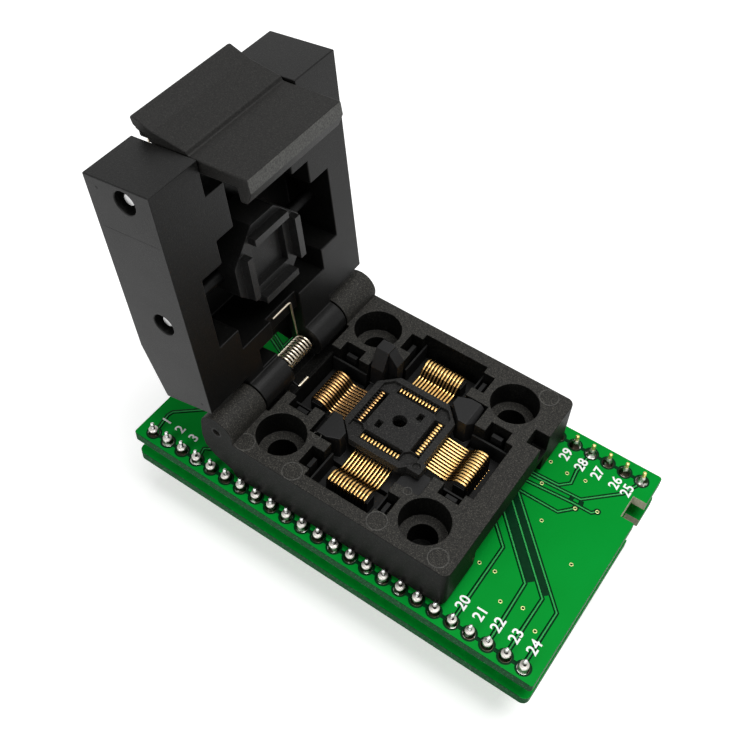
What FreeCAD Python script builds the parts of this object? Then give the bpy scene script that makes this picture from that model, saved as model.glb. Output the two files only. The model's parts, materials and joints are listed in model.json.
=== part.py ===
import FreeCAD, Part
import math
import os

V = FreeCAD.Vector
os.makedirs("parts", exist_ok=True)

# Driving dimensions in millimetres
# The socket is drawn about its own centre with z = 0 on the upper board, and raised as it is written.

# Contacts and nest
CONTACT_PITCH = 0.5
CONTACTS_IN_SIDE = 12
CONTACT_WIDTH = 0.28
CONTACT_THICK = 0.2
CONTACT_SPAN = (CONTACTS_IN_SIDE - 1) * CONTACT_PITCH / 2
NEST_MARGIN = 3.4
NEST_HALF = CONTACT_SPAN + NEST_MARGIN
NEST_FRAME = 0.9
NEST_SLOT = 1.65
NEST_INNER = NEST_HALF - NEST_FRAME
NEST_CHAMFER = NEST_HALF - 2.3
PLATFORM_HALF = NEST_INNER - NEST_SLOT
TIP_OUT = PLATFORM_HALF + 0.6
RISER_OUT = NEST_INNER - 0.25

# Socket base, built outwards from the nest
MOULD_GAP = 0.1
OPENING_HALF = NEST_HALF + 2.25
POCKET_DEPTH = 5.75
POCKET_END = OPENING_HALF + POCKET_DEPTH
POCKET_HALF = CONTACT_SPAN + 2.15
SIDE_WALL = 1.9
FRONT_WALL = 3.25
BASE_HALF = POCKET_END + SIDE_WALL
BASE_FRONT = POCKET_END + FRONT_WALL
BASE_TOP = 8.44
BASE_BOTTOM = 1.0
CORNER_HOLE = BASE_HALF - 5.05
CORNER_BORE = 1.95
CORNER_SINK = 3.3
CORNER_SINK_Z = BASE_TOP - 4.04
CORNER_FLOOR = 0.6
WINDOW_SIDE = (POCKET_HALF - 0.25, POCKET_HALF + 1.75)
WINDOW_OUT = (POCKET_END - 4.1, POCKET_END - 1.05)

# Heights inside the socket, down from its top
NEST_TOP = BASE_TOP - 0.64
PLATFORM_TOP = NEST_TOP + 0.1
TIP_Z = NEST_TOP - 0.3
BEAM_Z = NEST_TOP - 2.3
ARCH_Z = BEAM_Z + 1.35
NEST_UNDER = BEAM_Z + 1.1
SUPPORT_TOP = BEAM_Z - 0.9
BLOCK_TOP = BEAM_Z - 1.7
RIB_TOP = BASE_TOP - 1.84
HOOK_TOP = BASE_TOP - 1.14
SUPPORT_HALF = OPENING_HALF - MOULD_GAP
GUIDE_TOP = BASE_TOP + 0.26
GUIDE_PEAK = BASE_TOP + 2.56
BLOCK_OUT = (OPENING_HALF + 0.05, POCKET_END - MOULD_GAP)
BLOCK_HALF = POCKET_HALF - MOULD_GAP
TAIL_OUT = POCKET_END - 1.9

# Hinge
KNUCKLE_RADIUS = 2.6
KNUCKLE_GAP = 0.3
HINGE_WALL = 0.45
HINGE_X = -(POCKET_END + HINGE_WALL + KNUCKLE_GAP + KNUCKLE_RADIUS)
HINGE_Z = BASE_TOP + 0.66
HINGE_OPEN = 98.1
KNUCKLE_INNER = 3.0
KNUCKLE_OUTER = 8.85
EAR_INNER = KNUCKLE_OUTER + 0.2
SHAFT_RADIUS = 0.6
SHAFT_INSET = 0.45
RUNNING_FIT = 0.05
RECESS_FACE = HINGE_X + KNUCKLE_RADIUS + KNUCKLE_GAP
RECESS_FLOOR = HINGE_Z - KNUCKLE_RADIUS - 0.5

# Lid spring
WIRE = 0.2
COIL = 1.08
COIL_TURNS = 11
COIL_STEPS = 12
COIL_Y = (0.4 - KNUCKLE_INNER, KNUCKLE_INNER - 0.25)
TOE_DROP = 1.85
TOE_Y = -0.85
SPRING_SEAT = HINGE_Z - TOE_DROP - WIRE

# Lid, drawn closed: s from the hinge axis towards the front, w up from the axis
FRONT_S = BASE_FRONT - HINGE_X
LID_CENTRE = -HINGE_X
LID_FACE = -0.25
LID_TOP = 9.4
LID_END = FRONT_S + 2.5
LID_HALF = BASE_HALF + 0.05
CAVITY_ROOF = LID_TOP - 2.2
CAVITY_S = OPENING_HALF + 0.3
CAVITY_Y = OPENING_HALF + 0.1
ARM_HALF = 5.4
ARM_REACH = CAVITY_Y + 3.5
FRONT_ARM_HALF = 5.5
LEG_S = LID_CENTRE - CAVITY_S - WIRE
LEG_Y = (-2.3, 1.3)
LEG_RECESS = 0.6
LID_NOTCH_TOP = LEG_S - 2.5
LID_NOTCH_STEP = (KNUCKLE_RADIUS + 0.4, -5.9)
LID_WEB_LOW = COIL + 0.8
LID_WEB_FACE = KNUCKLE_RADIUS + 0.4
PIN_RADIUS = 0.8
PIN_SINK = 1.5
PIN_SINK_DEPTH = 1.6
PIN_INSET = 0.7

# Latch and its catch
LATCH_SLOT = FRONT_S - 2.3
LATCH_SLOT_HALF = 8.5
LATCH_HALF = LATCH_SLOT_HALF - 0.2
LATCH_PIN = (FRONT_S + 0.45, 3.74)
LATCH_HUB = 2.3
LEDGE_Z = BASE_TOP - 4.34
LEDGE_FACE = BASE_FRONT - 1.8
LEDGE_HALF = LATCH_SLOT_HALF + 0.1
NOSE_TOP = LEDGE_Z - HINGE_Z - 0.25
RETURN_COIL = 0.65
RETURN_WIRE = 0.15
RETURN_Y = LATCH_HALF - 1.3
RETURN_W = LATCH_PIN[1] + 3.8
RETURN_SEAT = LATCH_SLOT - 1.0
RETURN_PAD = LATCH_PIN[0] + 1.95

# Pressure pad
PAD_PIN = (LID_CENTRE, 3.67)
PAD_HALF = NEST_HALF + 0.05
PAD_FLAT = PAD_HALF - 4.0
PAD_BAR_OUT = PLATFORM_HALF + 1.0
PAD_BAR_WIDE = 1.0
PAD_BAR_LONG = CONTACT_SPAN + 0.45
PAD_BAR_FACE = PLATFORM_TOP + 0.4 - HINGE_Z
PAD_Z = (PAD_PIN[1] - 3.17, PAD_PIN[1] + 2.33)

# Two stacked boards, sized by the pins and by the socket
PITCH = 2.54
PINS_IN_ROW = 24
BOARD_END = 0.97
BOARD_SIDE = 2.0
BOARD_LENGTH = PINS_IN_ROW * PITCH + 2 * BOARD_END
BOARD_WIDTH = 2 * (BASE_HALF + BOARD_SIDE)
BOARD_THICK = 1.6
BOARD_GAP = 2.8
UPPER_CORNER = 0.45
LOWER_CORNER = 1.0
NOTCH_DEPTH = 1.95
NOTCH_WIDTH = 3.7
NOTCH_FROM_FAR = 5.05

# Link pins that join the boards
LINK_EDGE = 1.85
LINK_ROW_SPACING = BOARD_WIDTH - 2 * LINK_EDGE
LINK_SHIFT = (0.12, -0.36)
LINK_RADIUS = 0.25
LINK_ABOVE = 2.17
LINK_BELOW = 0.5
FILLET_RADIUS = 0.75
FILLET_HEIGHT = 0.9
PIN_CLEARANCE = 0.2

# Plug pins on their carrier strips
DIP_ROW_SPACING = 15.24
DIP_RADIUS = 0.25
DIP_BELOW = 6.0
COLLAR_RADIUS = 0.6
COLLAR_BELOW = 0.3
CARRIER_LENGTH = PINS_IN_ROW * PITCH
CARRIER_WIDTH = 2.5
CARRIER_HEIGHT = 2.54

STACK = 2 * BOARD_THICK + BOARD_GAP + CARRIER_HEIGHT + DIP_BELOW
LOWER_TOP = -(BOARD_THICK + BOARD_GAP)
LOWER_BOTTOM = LOWER_TOP - BOARD_THICK
CARRIER_BOTTOM = LOWER_BOTTOM - CARRIER_HEIGHT


def box(x, y, z):
    return Part.makeBox(x[1] - x[0], y[1] - y[0], z[1] - z[0], V(x[0], y[0], z[0]))


def both(half):
    return (-half, half)


def post(x, y, z, radius):
    return Part.makeCylinder(radius, z[1] - z[0], V(x, y, z[0]))


def rod(x, z, y, radius):
    return Part.makeCylinder(radius, y[1] - y[0], V(x, y[0], z), V(0, 1, 0))


def upright(points, z):
    # A plan outline drawn upwards.
    ring = [V(x, y, z[0]) for x, y in points]
    return Part.Face(Part.makePolygon(ring + ring[:1])).extrude(V(0, 0, z[1] - z[0]))


def across(points, y):
    # A side outline drawn along Y.
    ring = [V(x, y[0], z) for x, z in points]
    return Part.Face(Part.makePolygon(ring + ring[:1])).extrude(V(0, y[1] - y[0], 0))


def join(shapes):
    shape = shapes[0]
    if len(shapes) > 1:
        shape = shape.fuse(shapes[1:])
    return shape.removeSplitter()


def cut(shape, tools):
    return shape.cut(tools).removeSplitter()


def quarter(shape, turns):
    turned = shape.copy()
    turned.rotate(V(0, 0, 0), V(0, 0, 1), 90 * turns)
    return turned


def on_lid(shape):
    # From closed lid coordinates to the open lid of the photograph.
    placed = shape.copy()
    placed.translate(V(HINGE_X, 0, HINGE_Z))
    placed.rotate(V(HINGE_X, 0, HINGE_Z), V(0, 1, 0), -HINGE_OPEN)
    return placed


def bent_wire(path, radius, sides=6):
    # A wire with flat sides along straight runs, mitred where two runs meet.
    first = (path[1] - path[0]).normalize()
    aside = first.cross(V(0.3, 0.5, 0.8)).normalize()
    up = first.cross(aside)
    ring = []
    for i in range(sides):
        turn = 2 * math.pi * i / sides
        ring.append(path[0] + aside * (radius * math.cos(turn)) + up * (radius * math.sin(turn)))
    faces = [Part.Face(Part.makePolygon(ring + ring[:1]))]
    for i in range(1, len(path)):
        run = (path[i] - path[i - 1]).normalize()
        after = (path[i + 1] - path[i]).normalize() if i + 1 < len(path) else run
        mitre = (run + after).normalize()
        moved = [point + run * ((path[i] - point).dot(mitre) / run.dot(mitre)) for point in ring]
        for j in range(sides):
            k = (j + 1) % sides
            faces.append(Part.Face(Part.makePolygon([ring[j], ring[k], moved[k], moved[j], ring[j]])))
        ring = moved
    faces.append(Part.Face(Part.makePolygon(ring + ring[:1])))
    shell = Part.makeShell(faces)
    shell.sewShape()
    solid = Part.Solid(shell)
    if solid.Volume < 0:
        solid.reverse()
    return solid


def write(name, shapes):
    if not isinstance(shapes, list):
        shapes = [shapes]
    solids = []
    for shape in shapes:
        solids += shape.Solids
    placed = Part.makeCompound(solids) if len(solids) > 1 else solids[0]
    placed = placed.copy()
    placed.translate(V(0, 0, STACK))
    placed.exportStep("parts/" + name + ".step")
    print(name, len(solids), round(sum(solid.Volume for solid in solids), 2))


# Boards
def board(top, corner):
    z = (top - BOARD_THICK, top)
    plate = box(both(BOARD_LENGTH / 2), both(BOARD_WIDTH / 2), z)
    corners = [edge for edge in plate.Edges if abs(edge.Vertexes[0].Z - edge.Vertexes[1].Z) > 1]
    plate = plate.makeFillet(corner, corners)
    notch_x = (BOARD_LENGTH / 2 - NOTCH_DEPTH, BOARD_LENGTH)
    far = BOARD_WIDTH / 2 - NOTCH_FROM_FAR
    return cut(plate, [box(notch_x, (far - NOTCH_WIDTH, far), z)])


def row_x(index):
    return (index - (PINS_IN_ROW - 1) / 2) * PITCH


link_rows = {
    "near": LINK_SHIFT[1] - LINK_ROW_SPACING / 2,
    "far": LINK_SHIFT[1] + LINK_ROW_SPACING / 2,
}
dip_rows = {"near": -DIP_ROW_SPACING / 2, "far": DIP_ROW_SPACING / 2}

link_z = (LOWER_BOTTOM - LINK_BELOW, LINK_ABOVE)
links = {}
for side, y in link_rows.items():
    links[side] = [post(row_x(i) + LINK_SHIFT[0], y, link_z, LINK_RADIUS) for i in range(PINS_IN_ROW)]
    write("link_pins_" + side, links[side])
    fillets = []
    for i in range(PINS_IN_ROW):
        x = row_x(i) + LINK_SHIFT[0]
        cone = Part.makeCone(FILLET_RADIUS, LINK_RADIUS, FILLET_HEIGHT, V(x, y, 0))
        fillets.append(cone.cut(post(x, y, (0, FILLET_HEIGHT), LINK_RADIUS)))
    write("link_solder_" + side, fillets)

link_holes = links["near"] + links["far"]
write("adapter_board_upper", cut(board(0, UPPER_CORNER), link_holes))
write("adapter_board_lower", cut(board(LOWER_TOP, LOWER_CORNER), link_holes))

# Plug pins
for side, y in dip_rows.items():
    pins = []
    for i in range(PINS_IN_ROW):
        free = post(row_x(i), y, (CARRIER_BOTTOM - DIP_BELOW, CARRIER_BOTTOM), DIP_RADIUS)
        collar = post(row_x(i), y, (CARRIER_BOTTOM - COLLAR_BELOW, LOWER_BOTTOM), COLLAR_RADIUS)
        pins.append(join([free, collar]))
    write("dip_pins_" + side, pins)
    across_row = (y - CARRIER_WIDTH / 2, y + CARRIER_WIDTH / 2)
    strip = box(both(CARRIER_LENGTH / 2), across_row, (CARRIER_BOTTOM, LOWER_BOTTOM))
    write("pin_carrier_" + side, cut(strip, pins))

# Socket base: side outline with the hinge ears, rounded at the front corners
outline = [
    (BASE_FRONT, BASE_BOTTOM),
    (BASE_FRONT, BASE_TOP),
    (HINGE_X, BASE_TOP),
    (HINGE_X, HINGE_Z),
    (HINGE_X - KNUCKLE_RADIUS, HINGE_Z),
    (HINGE_X - KNUCKLE_RADIUS - 0.1, HINGE_Z - 2.45),
    (HINGE_X - KNUCKLE_RADIUS + 0.3, BASE_BOTTOM + 3.7),
    (HINGE_X - KNUCKLE_RADIUS + 1.7, BASE_BOTTOM + 2.3),
    (HINGE_X + 2.0, BASE_BOTTOM + 1.15),
    (HINGE_X + 2.5, BASE_BOTTOM),
]
body = across(outline, both(BASE_HALF)).fuse(rod(HINGE_X, HINGE_Z, both(BASE_HALF), KNUCKLE_RADIUS))
BEYOND = 10
back = HINGE_X - BEYOND
front = BASE_FRONT + BEYOND
above = BASE_TOP + BEYOND
plan = box((back, BASE_FRONT), both(BASE_HALF), (0, above))
fronts = [e for e in plan.Edges if abs(e.Vertexes[0].Z - e.Vertexes[1].Z) > 1 and e.Vertexes[0].X > 0]
body = body.common(plan.makeFillet(1.0, fronts))

front_notch = (OPENING_HALF - 1.9, OPENING_HALF + 0.6)
holes = [
    box(both(OPENING_HALF), both(OPENING_HALF), (0, above)),
    box((back, RECESS_FACE), both(EAR_INNER), (RECESS_FLOOR, above)),
    box((back, RECESS_FACE - 2.0), both(EAR_INNER), (0, above)),
    box((LEDGE_FACE, front), both(LEDGE_HALF), (0, LEDGE_Z)),
    box((BASE_FRONT - 2.1, front), front_notch, (BASE_TOP - 3.14, above)),
    box((RECESS_FACE - 1.0, -POCKET_END), both(POCKET_HALF), (SPRING_SEAT, above)),
    rod(HINGE_X, HINGE_Z, both(BASE_HALF), SHAFT_RADIUS),
]
# Clears the far link pins, which stand under the far wall.
relief_y = link_rows["far"] - LINK_RADIUS - PIN_CLEARANCE
holes.append(box((back, front), (relief_y, BASE_HALF + BEYOND), (0, LINK_ABOVE + PIN_CLEARANCE)))
for turn in range(4):
    pocket = box((0, POCKET_END), both(POCKET_HALF), (0, above))
    holes.append(quarter(pocket, turn))
    for side in (WINDOW_SIDE, (-WINDOW_SIDE[1], -WINDOW_SIDE[0])):
        holes.append(quarter(box(WINDOW_OUT, side, (0, above)), turn))
feet = []
for x in both(CORNER_HOLE):
    for y in both(CORNER_HOLE):
        holes.append(post(x, y, (CORNER_SINK_Z, above), CORNER_SINK))
        feet.append(post(x, y, (0, BASE_BOTTOM + 0.5), CORNER_SINK))
        holes.append(post(x, y, (CORNER_FLOOR, above), CORNER_BORE))
body = body.fuse(feet)
write("socket_base", cut(body, holes))

# Nest support with the four corner guide posts
n = NEST_HALF
o = SUPPORT_HALF
north_east = [
    (n - 1.85, n - 0.05),
    (n - 1.85, o - 0.9),
    (o - 2.3, o - 0.2),
    (o - 0.25, o - 0.2),
    (o, o - 2.9),
    (o - 0.7, n - 2.05),
    (n + 0.15, n - 2.05),
]
south_west = [(-x, -y) for x, y in north_east]
south_east = [(x, -y) for x, y in north_east]
support = [
    box(both(o), both(o), (0, SUPPORT_TOP)),
    upright(north_east, (SUPPORT_TOP, GUIDE_TOP)),
    upright(south_west, (SUPPORT_TOP, GUIDE_TOP)),
    upright(south_east, (SUPPORT_TOP, NEST_UNDER - 0.3)),
]
# The tall post stands round the package corner, with a sloping lead-in at the end of each wing.
wing = (n + 0.05, o - 0.05)
wall = (n + 0.3, o - 0.2)
near_lead = [
    (n - 0.95, SUPPORT_TOP),
    (wall[1], SUPPORT_TOP),
    (wall[1], GUIDE_PEAK),
    (wall[0], GUIDE_PEAK),
    (n - 0.95, GUIDE_PEAK - 2.9),
]
front_lead = [
    (-wing[1], SUPPORT_TOP),
    (1.4 - n, SUPPORT_TOP),
    (1.4 - n, GUIDE_PEAK - 2.1),
    (-wing[0] - 0.2, GUIDE_PEAK),
    (-wing[1], GUIDE_PEAK),
]
support.append(quarter(across(near_lead, wing), 1))
support.append(across(front_lead, wall))
ramp = [(o - 1.1, GUIDE_TOP + 0.3), (o + 0.3, GUIDE_TOP + 0.3), (o + 0.3, GUIDE_TOP - 1.1)]
ramps = [
    across(ramp, (0, o + 1)),
    across([(-x, z) for x, z in ramp], (-o - 1, 0)),
]
write("nest_support", cut(join(support), ramps))

# Nest plate: octagonal frame round the platform that carries the circuit
octagon = [(NEST_HALF, NEST_CHAMFER), (NEST_CHAMFER, NEST_HALF)]
octagon += [(-x, y) for x, y in reversed(octagon)]
octagon += [(x, -y) for x, y in reversed(octagon)]
nest = [upright(octagon, (NEST_UNDER, NEST_TOP))]
c = PLATFORM_HALF
k = PLATFORM_HALF - 1.0
stage = [(c, -k), (c, k), (k, c), (-k, c), (-c, k), (-c, -k), (-k, -c), (k, -c)]
nest.append(upright(stage, (NEST_UNDER, PLATFORM_TOP)))
tab_x = (n - 1.45, n + 0.45)
tab_y = (0.65 - n, 2.45 - n)
nest.append(box(tab_x, tab_y, (NEST_UNDER, NEST_TOP)))
leg = (n - 2.4, n - 1.2)
for x in (leg, (-leg[1], -leg[0])):
    for y in (leg, (-leg[1], -leg[0])):
        nest.append(box(x, y, (SUPPORT_TOP, NEST_UNDER)))
through = (0, above)
cuts = [post(0, 0, through, 0.975)]
cuts.append(post(sum(tab_x) / 2, sum(tab_y) / 2, (NEST_TOP - 0.4, above), 0.55))
for x, y in ((1.9, 2.05), (-2.0, -1.95)):
    cuts.append(box((x - 0.4, x + 0.4), (y - 0.6, y + 0.6), through))
slot_half = CONTACT_SPAN + 0.25
for turn in range(4):
    cuts.append(quarter(box((PLATFORM_HALF + 0.05, NEST_INNER), both(slot_half), through), turn))
    corner = [
        (NEST_INNER, slot_half + 0.1),
        (NEST_INNER, NEST_INNER - 1.05),
        (NEST_INNER - 1.05, NEST_INNER),
        (slot_half + 0.1, NEST_INNER),
        (slot_half + 0.1, PLATFORM_HALF + 0.15),
        (PLATFORM_HALF + 0.15, slot_half + 0.1),
    ]
    cuts.append(quarter(upright(corner, (NEST_TOP - 0.6, above)), turn))
write("nest_plate", cut(join(nest), cuts))


# Contacts: one bent strip, repeated at its pitch and turned to each side
def strip(path, thick):
    # A side outline that runs along the path with mitred corners.
    left = []
    right = []
    for i, (x, z) in enumerate(path):
        before = path[max(i - 1, 0)]
        after = path[min(i + 1, len(path) - 1)]
        a = math.atan2(z - before[1], x - before[0]) if i else None
        b = math.atan2(after[1] - z, after[0] - x) if i < len(path) - 1 else None
        a = b if a is None else a
        b = a if b is None else b
        middle = (a + b) / 2
        reach = thick / 2 / math.cos((b - a) / 2)
        left.append((x - reach * math.sin(middle), z + reach * math.cos(middle)))
        right.append((x + reach * math.sin(middle), z - reach * math.cos(middle)))
    return left + right[::-1]


contact_path = [
    (TIP_OUT, TIP_Z),
    (RISER_OUT - 0.3, TIP_Z + 0.05),
    (RISER_OUT - 0.05, TIP_Z - 0.3),
    (RISER_OUT, BEAM_Z + 0.65),
    (RISER_OUT + 0.5, BEAM_Z + 0.42),
    (TAIL_OUT - 3.05, BEAM_Z),
    (TAIL_OUT - 2.35, ARCH_Z - 0.55),
    (TAIL_OUT - 1.65, ARCH_Z - 0.13),
    (TAIL_OUT - 0.75, ARCH_Z),
    (TAIL_OUT, ARCH_Z - 0.5),
    (TAIL_OUT, 0.0),
]
contact_outline = strip(contact_path, CONTACT_THICK)
sides = {"front": 0, "far": 1, "hinge": 2, "near": 3}
for side, turn in sides.items():
    springs = []
    for i in range(CONTACTS_IN_SIDE):
        y = (i - (CONTACTS_IN_SIDE - 1) / 2) * CONTACT_PITCH
        strip_y = (y - CONTACT_WIDTH / 2, y + CONTACT_WIDTH / 2)
        springs.append(quarter(across(contact_outline, strip_y), turn))
    write("contacts_" + side, springs)
    block = [box(BLOCK_OUT, both(BLOCK_HALF), (0, BLOCK_TOP))]
    block.append(box((TAIL_OUT - 1.9, TAIL_OUT - 0.25), both(CONTACT_SPAN + 0.45), (0, ARCH_Z - 0.65)))
    for sign in (-1, 1):
        rib = sorted((sign * (BLOCK_HALF - 0.3), sign * BLOCK_HALF))
        block.append(box(BLOCK_OUT, rib, (0, RIB_TOP)))
        foot = sorted((sign * (BLOCK_HALF - 0.3), sign * (BLOCK_HALF + 1.5)))
        block.append(box((WINDOW_OUT[0] + 0.35, WINDOW_OUT[1] - 0.3), foot, (0.4, 2.8)))
        hook = sorted((sign * (BLOCK_HALF + 0.6), sign * (BLOCK_HALF + 1.2)))
        block.append(box((WINDOW_OUT[0] + 0.75, WINDOW_OUT[1] - 0.7), hook, (0.4, HOOK_TOP)))
    slots = [box((TAIL_OUT - CONTACT_THICK / 2, TAIL_OUT + CONTACT_THICK / 2), both(slot_half), (-1, ARCH_Z))]
    write("contact_block_" + side, quarter(cut(join(block), slots), turn))

# Hinge shaft and lid spring
write("hinge_shaft", rod(HINGE_X, HINGE_Z, both(BASE_HALF - SHAFT_INSET), SHAFT_RADIUS))

opened = math.radians(HINGE_OPEN)
lean = math.acos(COIL / LEG_S)
angle_end = opened + lean - 2 * math.pi * COIL_TURNS
toe_x = -(POCKET_END + HINGE_WALL / 2)
toe_z = HINGE_Z - TOE_DROP
toe_reach = math.hypot(toe_x - HINGE_X, TOE_DROP)
angle_start = math.atan2(-TOE_DROP, toe_x - HINGE_X) - math.acos(COIL / toe_reach)
steps = round((angle_start - angle_end) / (2 * math.pi) * COIL_STEPS)
knee = V(HINGE_X + LEG_S * math.cos(opened), LEG_Y[1], HINGE_Z + LEG_S * math.sin(opened))
path = [V(toe_x, TOE_Y, toe_z), V(toe_x, COIL_Y[0], toe_z)]
for i in range(steps + 1):
    angle = angle_start + (angle_end - angle_start) * i / steps
    y = COIL_Y[0] + (COIL_Y[1] - COIL_Y[0]) * i / steps
    path.append(V(HINGE_X + COIL * math.cos(angle), y, HINGE_Z + COIL * math.sin(angle)))
path += [knee, V(knee.x, LEG_Y[0], knee.z)]
write("lid_spring", bent_wire(path, WIRE))

# Lid, with its knuckles, cavity, latch slot and pin holes
heel = KNUCKLE_RADIUS + 1.2
lid_outline = [
    (heel, LID_FACE),
    (LID_END, LID_FACE),
    (LID_END, LID_TOP),
    (heel + 7.4, LID_TOP + 0.1),
    (heel - 1.0, LID_TOP - 1.8),
]
lid = [across(lid_outline, both(LID_HALF))]
web_top = KNUCKLE_RADIUS + 1.8
web = [
    (0, 0),
    (0, KNUCKLE_RADIUS),
    (heel - 0.5, web_top),
    (heel + 0.8, web_top),
    (heel + 0.8, LID_FACE),
    (0, LID_FACE),
]
for span in ((-KNUCKLE_OUTER, -KNUCKLE_INNER), (KNUCKLE_INNER, KNUCKLE_OUTER)):
    lid.append(rod(0, 0, span, KNUCKLE_RADIUS))
    lid.append(across(web, span))
# The wall behind the spring reaches down between the knuckles.
lid.append(box((LID_WEB_LOW, heel + 0.8), both(KNUCKLE_INNER + 0.5), (LID_WEB_FACE, web_top)))
below = -KNUCKLE_RADIUS - 1
over = LID_TOP + 2
past = LID_END + 2
lid_cuts = [
    rod(0, 0, both(LID_HALF), SHAFT_RADIUS + RUNNING_FIT),
    box((LID_CENTRE - CAVITY_S, LID_CENTRE + CAVITY_S), both(CAVITY_Y), (below, CAVITY_ROOF)),
    box((LID_CENTRE - ARM_HALF, LID_CENTRE + ARM_HALF), both(ARM_REACH), (below, CAVITY_ROOF)),
    box((LID_CENTRE, past), both(FRONT_ARM_HALF), (below, CAVITY_ROOF)),
    box((LATCH_SLOT, past), both(LATCH_SLOT_HALF), (below, over)),
    box((0, LID_NOTCH_TOP), both(KNUCKLE_INNER), (below, LID_WEB_FACE)),
    box((0, LID_WEB_LOW), both(KNUCKLE_INNER), (below, over)),
    box((LID_NOTCH_STEP[0], LID_NOTCH_TOP), (LID_NOTCH_STEP[1], 0), (below, LID_WEB_FACE)),
    box((LID_NOTCH_TOP - 1.0, LEG_S + 0.45), both(KNUCKLE_INNER), (below, LEG_RECESS)),
]
for s, w in (LATCH_PIN, PAD_PIN):
    lid_cuts.append(rod(s, w, both(LID_HALF), PIN_RADIUS))
    lid_cuts.append(rod(s, w, (-LID_HALF, PIN_SINK_DEPTH - LID_HALF), PIN_SINK))
    lid_cuts.append(rod(s, w, (LID_HALF - PIN_SINK_DEPTH, LID_HALF), PIN_SINK))
for y in both(RETURN_Y):
    socket = Part.makeCylinder(RETURN_COIL + 0.35, 2.0, V(RETURN_SEAT, y, RETURN_W), V(1, 0, 0))
    lid_cuts.append(socket)
write("lid", on_lid(cut(join(lid), lid_cuts)))
pin_y = both(LID_HALF - PIN_INSET)
write("latch_pin", on_lid(rod(LATCH_PIN[0], LATCH_PIN[1], pin_y, PIN_RADIUS)))
write("pad_pin", on_lid(rod(PAD_PIN[0], PAD_PIN[1], pin_y, PIN_RADIUS)))

# Latch lever: hook arm, hub and thumb tab from one outline
f = FRONT_S
p = LATCH_PIN[1]
latch_outline = [
    (f + 2.3, p - 2.54),
    (f + 2.0, NOSE_TOP - 1.65),
    (f + 0.3, NOSE_TOP - 1.8),
    (f - 1.4, NOSE_TOP - 0.95),
    (f - 1.4, NOSE_TOP),
    (f + 0.5, NOSE_TOP + 0.15),
    (f + 0.5, p - 0.74),
    (f + 1.1, p + 2.26),
    (f + 2.7, p + 3.26),
    (f + 3.8, p + 5.16),
    (f + 4.8, p + 5.36),
    (f + 5.1, p + 4.86),
    (f + 4.3, p + 3.16),
    (f + 3.9, p + 2.26),
    (f + 2.85, p - 2.24),
]
latch = [across(latch_outline, both(LATCH_HALF)), rod(LATCH_PIN[0], p, both(LATCH_HALF), LATCH_HUB)]
for y in both(RETURN_Y):
    latch.append(box((RETURN_PAD, RETURN_PAD + 1.1), (y - 1.1, y + 1.1), (RETURN_W - 0.9, RETURN_W + 0.9)))
latch = cut(join(latch), [rod(LATCH_PIN[0], p, both(LATCH_HALF), PIN_RADIUS + RUNNING_FIT)])
write("latch_lever", on_lid(latch))

# Return springs between the lid and the thumb tab
returns = []
TURNS = 6
first = RETURN_SEAT + RETURN_WIRE + 0.05
last = RETURN_PAD - RETURN_WIRE - 0.05
for y in both(RETURN_Y):
    path = []
    for i in range(TURNS * 10 + 1):
        angle = i * math.pi / 5
        s = first + (last - first) * i / (TURNS * 10)
        path.append(V(s, y + RETURN_COIL * math.cos(angle), RETURN_W + RETURN_COIL * math.sin(angle)))
    returns.append(on_lid(bent_wire(path, RETURN_WIRE, 4)))
write("latch_springs", returns)

# Pressure pad: octagonal block with four press bars
s, w = PAD_PIN
h = PAD_HALF
q = PAD_FLAT
pad_plan = [(h, q), (q, h), (-q, h), (-h, q), (-h, -q), (-q, -h), (q, -h), (h, -q)]
pad = upright([(s + x, y) for x, y in pad_plan], PAD_Z)
bars = []
bar_x = (PAD_BAR_OUT - PAD_BAR_WIDE / 2, PAD_BAR_OUT + PAD_BAR_WIDE / 2)
for turn in range(4):
    bar = quarter(box(bar_x, both(PAD_BAR_LONG), (PAD_BAR_FACE, PAD_Z[0])), turn)
    bar.translate(V(s, 0, 0))
    bars.append(bar)
inside = PLATFORM_HALF - 0.6
recess = box((s - inside, s + inside), both(inside), (PAD_Z[0] - 1, PAD_Z[0] + 1.0))
pad = cut(join([pad] + bars), [recess, rod(s, w, both(LID_HALF), PIN_RADIUS + RUNNING_FIT)])
write("pressure_pad", on_lid(pad))
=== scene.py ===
# %% [markdown]
# # A chip programming adapter, dressed in Blender
# The real thing is a clamshell test socket for a square chip. It stands on two
# stacked green boards that end in a plug of 48 pins. The solids were built in CAD
# and packed as a frame, so every size here is real and the unit is the metre. This
# lesson gives those solids their moulded edges, their fine parts and their
# finishes, and then lights them as for a catalogue picture.
#
# The CAD model could be shown as it is, but its edges are knife sharp and nothing
# on it is finished. So each solid is either softened or replaced by a better piece
# in the same place.

# %% The frame
import json
import math
import random

import bpy
from mathutils import Matrix, Vector

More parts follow.
